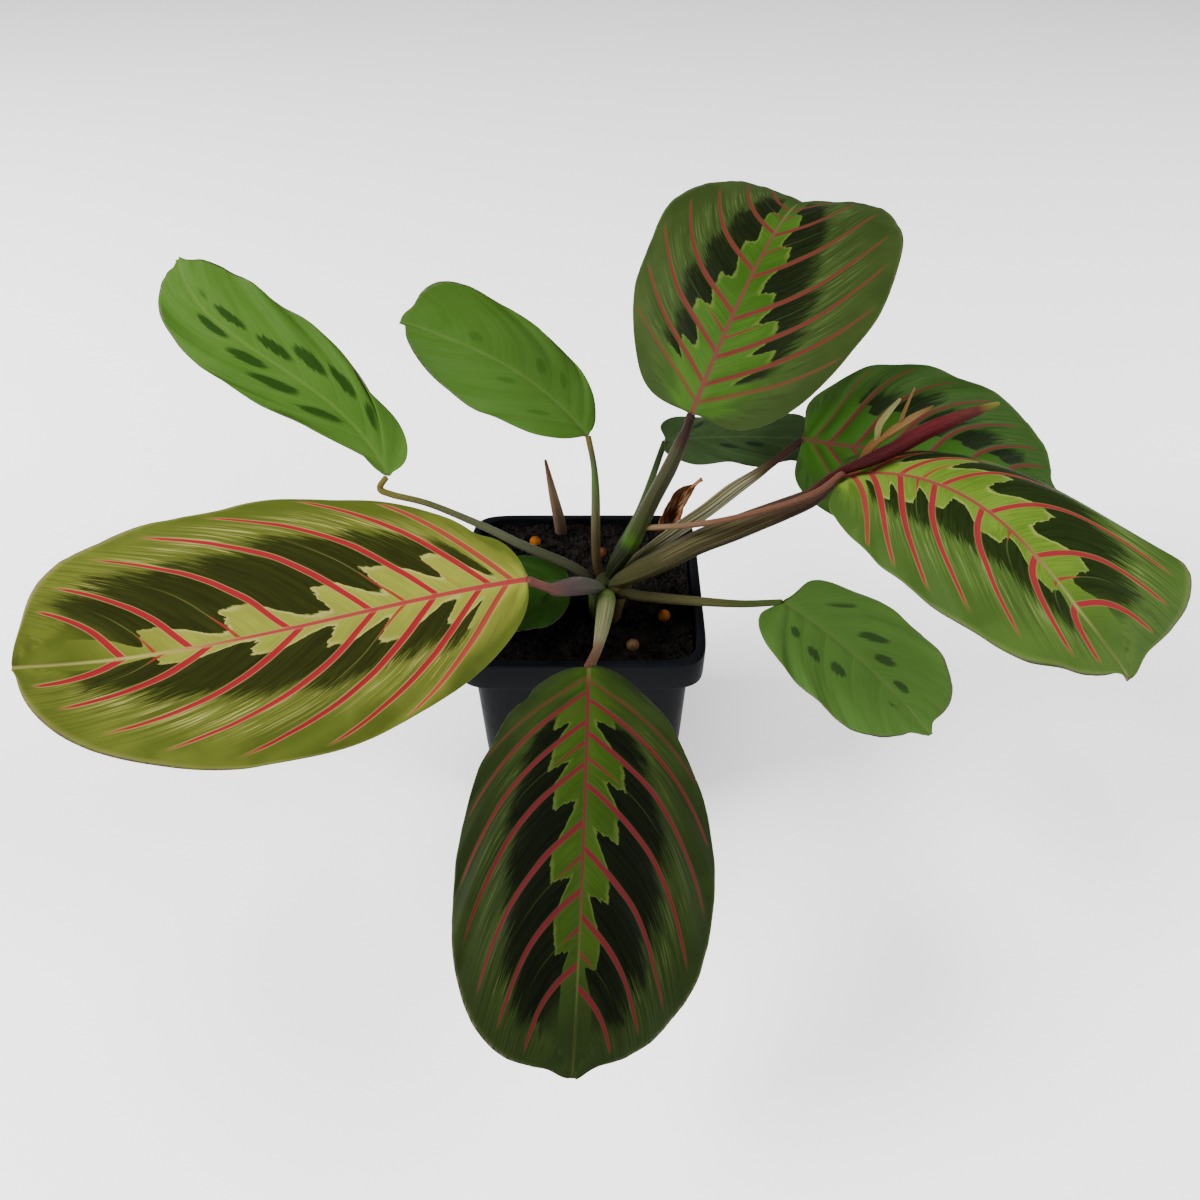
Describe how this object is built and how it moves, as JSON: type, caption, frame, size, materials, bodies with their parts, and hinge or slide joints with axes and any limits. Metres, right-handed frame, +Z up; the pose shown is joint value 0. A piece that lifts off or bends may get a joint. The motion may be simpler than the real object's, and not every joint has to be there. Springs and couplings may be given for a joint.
{
  "type": "potted prayer plant",
  "caption": "Prayer plant with patterned oval leaves on thin stalks, rooted in soil in a square tapered plastic nursery pot with a flat base.",
  "frame": {"origin": "middle of the pot's flat underside", "axes": "+Z up; +X to the right and -Y towards the front leaf that hangs over the pot's rim; the pot's sides are square to X and Y"},
  "size_m": [0.2678, 0.2154, 0.1627],
  "materials": {
    "pot": "dark grey moulded polypropylene, slightly glossy",
    "soil": "moist dark potting soil, crumbly",
    "fertiliser": "coated fertiliser bead, satin orange",
    "leaf": "satin green leaf with dark blotches, a pale centre band and red veins",
    "stalk": "olive and brown ribbed sheath, satin",
    "rolled_leaf": "burgundy rolled new leaf, satin",
    "flower_stalk": "thin pinkish flower stalk",
    "bract": "dry straw-coloured bract",
    "dry_leaf": "dry brown leaf remains"
  },
  "bodies": {
    "root": {"blade_backLeft": "leaf", "blade_backMid": "leaf", "blade_behind": "leaf", "blade_front": "leaf", "blade_left": "leaf", "blade_lowLeft": "leaf", "blade_lowRight": "leaf", "blade_rear": "leaf", "blade_right": "leaf", "blade_upper": "leaf", "bract_pale": "bract", "bract_tan": "bract", "bract_thin": "bract", "crown": "stalk", "dry_leaf": "dry_leaf", "dry_stub": "dry_leaf", "fertiliser_bead_1": "fertiliser", "fertiliser_bead_2": "fertiliser", "fertiliser_bead_3": "fertiliser", "fertiliser_bead_4": "fertiliser", "fertiliser_bead_5": "fertiliser", "flower_stalk": "flower_stalk", "pot": "pot", "rolled_leaf": "rolled_leaf", "soil": "soil", "stalk_backLeft": "stalk", "stalk_backMid": "stalk", "stalk_behind": "stalk", "stalk_front": "stalk", "stalk_left": "stalk", "stalk_lowLeft": "stalk", "stalk_lowRight": "stalk", "stalk_rear": "stalk", "stalk_right": "stalk", "stalk_upper": "stalk"}
  },
  "joints": []
}
